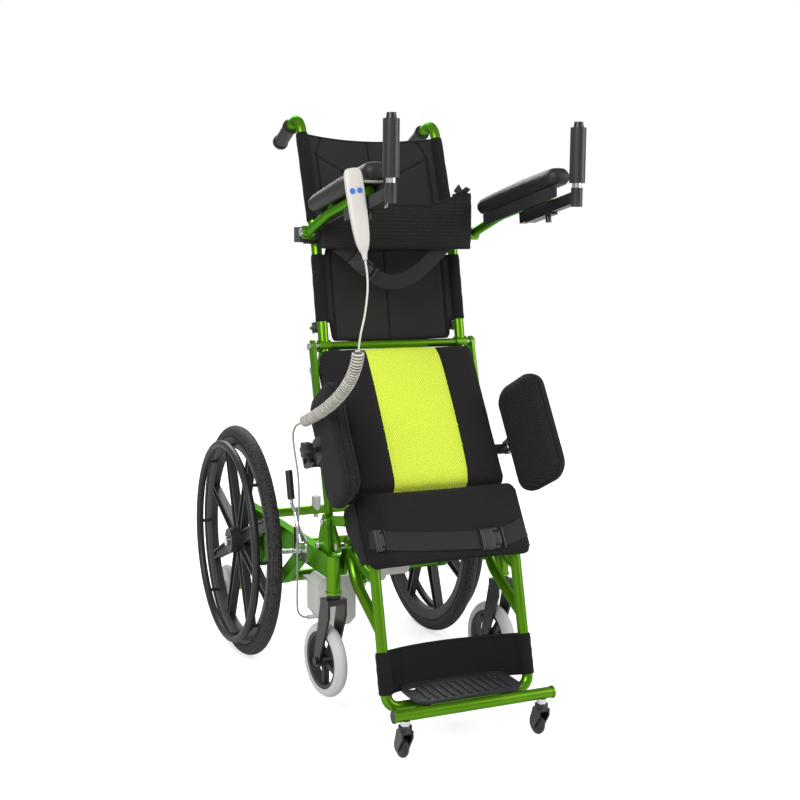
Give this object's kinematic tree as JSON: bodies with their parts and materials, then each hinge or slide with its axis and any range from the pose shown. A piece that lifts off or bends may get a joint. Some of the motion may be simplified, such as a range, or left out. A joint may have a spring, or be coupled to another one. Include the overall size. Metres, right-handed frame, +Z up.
{
  "type": "standing wheelchair",
  "caption": "Manual-wheeled chair whose powered seat lift raises the user to standing, with hip pads, knee and chest belts, swing-up arms and a wired handset.",
  "frame": {"origin": "on the floor, under the middle of the chair's length and width", "axes": "+Z up, +X to the user's left, the chair faces -Y"},
  "size_m": [0.646, 1.279, 1.4042],
  "materials": {
    "frame_green": "bright yellow-green gloss paint",
    "bright_metal": "bright plated steel",
    "pale_plastic": "pale grey moulded plastic",
    "black_tyre": "black tyre rubber",
    "wheel_plastic": "black moulded wheel",
    "grey_rubber": "light grey rubber",
    "black_metal": "black powder coat",
    "black_plastic": "black moulded plastic",
    "black_fabric": "black mesh upholstery",
    "blue_plastic": "blue button",
    "grey_cord": "grey cable sheath"
  },
  "bodies": {
    "base": {"base_side_left": "frame_green", "base_side_right": "frame_green", "base_cross_tubes": "frame_green", "base_bolts": "bright_metal", "control_box": "pale_plastic", "rail_bumper": "pale_plastic", "brake_brackets": "bright_metal", "cord_lead": "grey_cord", "cord_coil": "grey_cord", "cord_cable": "grey_cord"},
    "seat": {"seat_frame": "frame_green", "seat_cushion": "black_fabric", "knee_belt": "black_fabric", "hip_brackets": "black_metal"},
    "links": {"parallel_links": "frame_green"},
    "actuator": {"actuator_body": "pale_plastic"},
    "ram": {"actuator_rod": "bright_metal"},
    "back": {"back_frame": "frame_green", "back_bolts": "bright_metal", "push_grips": "black_plastic", "back_panel_upper": "black_fabric", "back_panel_lower": "black_fabric", "arm_clamps": "black_plastic", "arm_bolts": "bright_metal", "chest_belt": "black_fabric"},
    "legs": {"leg_frame": "frame_green", "leg_bolts": "bright_metal", "calf_strap": "black_fabric", "foot_plate": "black_plastic"},
    "button_up": {"button_up": "blue_plastic"},
    "button_down": {"button_down": "blue_plastic"},
    "rear_wheel_left": {"rear_tyre_left": "black_tyre", "rear_wheel_left": "wheel_plastic"},
    "caster_left": {"caster_fork_left": "black_metal"},
    "caster_wheel_left": {"caster_tyre_left": "grey_rubber", "caster_rim_left": "wheel_plastic"},
    "anti_tip_left": {"anti_tip_wheel_left": "grey_rubber"},
    "brake_lever_left": {"brake_lever_left": "bright_metal"},
    "brake_shoe_left": {"brake_shoe_left": "bright_metal"},
    "hip_left": {"hip_pad_left": "black_fabric"},
    "arm_left": {"arm_tube_left": "frame_green", "arm_pad_left": "black_fabric"},
    "grip_left": {"grip_bar_left": "black_metal"},
    "toe_left": {"foot_caster_fork_left": "black_plastic"},
    "toe_wheel_left": {"foot_caster_wheel_left": "black_plastic"},
    "rear_wheel_right": {"rear_tyre_right": "black_tyre", "rear_wheel_right": "wheel_plastic"},
    "caster_right": {"caster_fork_right": "black_metal"},
    "caster_wheel_right": {"caster_tyre_right": "grey_rubber", "caster_rim_right": "wheel_plastic"},
    "anti_tip_right": {"anti_tip_wheel_right": "grey_rubber"},
    "brake_lever_right": {"brake_lever_right": "bright_metal"},
    "brake_shoe_right": {"brake_shoe_right": "bright_metal"},
    "hip_right": {"hip_pad_right": "black_fabric"},
    "arm_right": {"arm_tube_right": "frame_green", "arm_pad_right": "black_fabric", "handset_case": "pale_plastic"},
    "grip_right": {"grip_bar_right": "black_metal"},
    "toe_right": {"foot_caster_fork_right": "black_plastic"},
    "toe_wheel_right": {"foot_caster_wheel_right": "black_plastic"}
  },
  "joints": [
    {"name": "seat_lift", "type": "hinge", "parent": "base", "child": "seat", "pos_m": [0, -0.27054, 0.455], "axis": [1, 0, 0], "range_deg": [-62, 0], "deforming": ["cord_lead", "cord_coil", "cord_cable"]},
    {"name": "back_hinge", "type": "hinge", "parent": "seat", "child": "back", "pos_m": [0, -0.15566, 0.8517], "axis": [1, 0, 0], "range_deg": [0, 62], "deforming": ["cord_lead", "cord_coil", "cord_cable"]},
    {"name": "knee_hinge", "type": "hinge", "parent": "seat", "child": "legs", "pos_m": [0, -0.32074, 0.4048], "axis": [1, 0, 0], "range_deg": [0, 62]},
    {"name": "link_swing", "type": "hinge", "parent": "base", "child": "links", "pos_m": [0, -0.24554, 0.395], "axis": [1, 0, 0], "range_deg": [-62, 0]},
    {"name": "actuator_tilt", "type": "hinge", "parent": "base", "child": "actuator", "pos_m": [0, -0.01554, 0.235], "axis": [1, 0, 0], "range_deg": [-6.51, 0]},
    {"name": "ram_extend", "type": "slide", "parent": "actuator", "child": "ram", "axis": [0, -0.6789, 0.7342], "range_m": [-0.06168, 0]},
    {"name": "rear_wheel_left_spin", "type": "hinge", "parent": "base", "child": "rear_wheel_left", "pos_m": [0.273, 0.22446, 0.305], "axis": [1, 0, 0], "continuous": true},
    {"name": "caster_left_swivel", "type": "hinge", "parent": "base", "child": "caster_left", "pos_m": [0.22, -0.32054, 0.0003], "axis": [0, 0, 1], "continuous": true},
    {"name": "caster_left_spin", "type": "hinge", "parent": "caster_left", "child": "caster_wheel_left", "pos_m": [0.21471, -0.28291, 0.128], "axis": [0.9903, 0.1392, 0], "continuous": true},
    {"name": "anti_tip_left_spin", "type": "hinge", "parent": "base", "child": "anti_tip_left", "pos_m": [0.205, 0.57447, 0.078], "axis": [1, 0, 0], "continuous": true},
    {"name": "brake_lever_left_pull", "type": "hinge", "parent": "base", "child": "brake_lever_left", "pos_m": [0.247, -0.17853, 0.377], "axis": [1, 0, 0], "range_deg": [-30, 0]},
    {"name": "brake_shoe_left_swing", "type": "hinge", "parent": "base", "child": "brake_shoe_left", "pos_m": [0.2375, -0.11854, 0.404], "axis": [1, 0, 0], "range_deg": [0, 48]},
    {"name": "hip_pad_left_swing", "type": "hinge", "parent": "seat", "child": "hip_left", "pos_m": [0.262, -0.2785, 0.60914], "axis": [0, 0.5225, 0.8526], "range_deg": [-16, 44]},
    {"name": "arm_left_flip", "type": "hinge", "parent": "back", "child": "arm_left", "pos_m": [0.217, -0.14247, 1.11938], "axis": [1, 0, 0], "range_deg": [-65, 0]},
    {"name": "grip_left_slide", "type": "slide", "parent": "arm_left", "child": "grip_left", "axis": [0, -0.9833, 0.1822], "range_m": [-0.02, 0.03]},
    {"name": "toe_left_swivel", "type": "hinge", "parent": "legs", "child": "toe_left", "pos_m": [0.168, -0.60818, 0], "axis": [0, 0, 1], "continuous": true},
    {"name": "toe_left_spin", "type": "hinge", "parent": "toe_left", "child": "toe_wheel_left", "pos_m": [0.168, -0.59218, 0.026], "axis": [1, 0, 0], "continuous": true},
    {"name": "rear_wheel_right_spin", "type": "hinge", "parent": "base", "child": "rear_wheel_right", "pos_m": [-0.273, 0.22446, 0.305], "axis": [1, 0, 0], "continuous": true},
    {"name": "caster_right_swivel", "type": "hinge", "parent": "base", "child": "caster_right", "pos_m": [-0.22, -0.32054, 0.0003], "axis": [0, 0, 1], "continuous": true},
    {"name": "caster_right_spin", "type": "hinge", "parent": "caster_right", "child": "caster_wheel_right", "pos_m": [-0.22529, -0.28291, 0.128], "axis": [0.9903, 0.1392, 0], "continuous": true},
    {"name": "anti_tip_right_spin", "type": "hinge", "parent": "base", "child": "anti_tip_right", "pos_m": [-0.205, 0.57447, 0.078], "axis": [1, 0, 0], "continuous": true},
    {"name": "brake_lever_right_pull", "type": "hinge", "parent": "base", "child": "brake_lever_right", "pos_m": [-0.247, -0.17853, 0.377], "axis": [1, 0, 0], "range_deg": [-30, 0]},
    {"name": "brake_shoe_right_swing", "type": "hinge", "parent": "base", "child": "brake_shoe_right", "pos_m": [-0.2375, -0.11854, 0.404], "axis": [1, 0, 0], "range_deg": [0, 48]},
    {"name": "hip_pad_right_swing", "type": "hinge", "parent": "seat", "child": "hip_right", "pos_m": [-0.262, -0.2785, 0.60914], "axis": [0, -0.5225, -0.8526], "range_deg": [0, 60], "deforming": ["cord_coil", "cord_cable"]},
    {"name": "arm_right_flip", "type": "hinge", "parent": "back", "child": "arm_right", "pos_m": [-0.217, -0.14247, 1.11938], "axis": [1, 0, 0], "range_deg": [-65, 0], "deforming": ["cord_lead", "cord_coil"]},
    {"name": "grip_right_slide", "type": "slide", "parent": "arm_right", "child": "grip_right", "axis": [0, -0.9833, 0.1822], "range_m": [-0.02, 0.03]},
    {"name": "toe_right_swivel", "type": "hinge", "parent": "legs", "child": "toe_right", "pos_m": [-0.168, -0.60818, 0], "axis": [0, 0, 1], "continuous": true},
    {"name": "toe_right_spin", "type": "hinge", "parent": "toe_right", "child": "toe_wheel_right", "pos_m": [-0.168, -0.59218, 0.026], "axis": [1, 0, 0], "continuous": true},
    {"name": "button_up_press", "type": "slide", "parent": "arm_right", "child": "button_up", "axis": [0.26, 0.9485, -0.1808], "range_m": [0, 0.0015]},
    {"name": "button_down_press", "type": "slide", "parent": "arm_right", "child": "button_down", "axis": [0.26, 0.9485, -0.1808], "range_m": [0, 0.0015]}
  ],
  "couplings": [
    {"joint": "back_hinge", "follows": "seat_lift", "ratio": -1},
    {"joint": "knee_hinge", "follows": "seat_lift", "ratio": -1},
    {"joint": "link_swing", "follows": "seat_lift", "ratio": 1},
    {"joint": "actuator_tilt", "follows": "seat_lift", "ratio": 0.105},
    {"joint": "ram_extend", "follows": "seat_lift", "m_per_rad": 0.057},
    {"joint": "brake_shoe_left_swing", "follows": "brake_lever_left_pull", "ratio": -1.6},
    {"joint": "brake_shoe_right_swing", "follows": "brake_lever_right_pull", "ratio": -1.6}
  ]
}
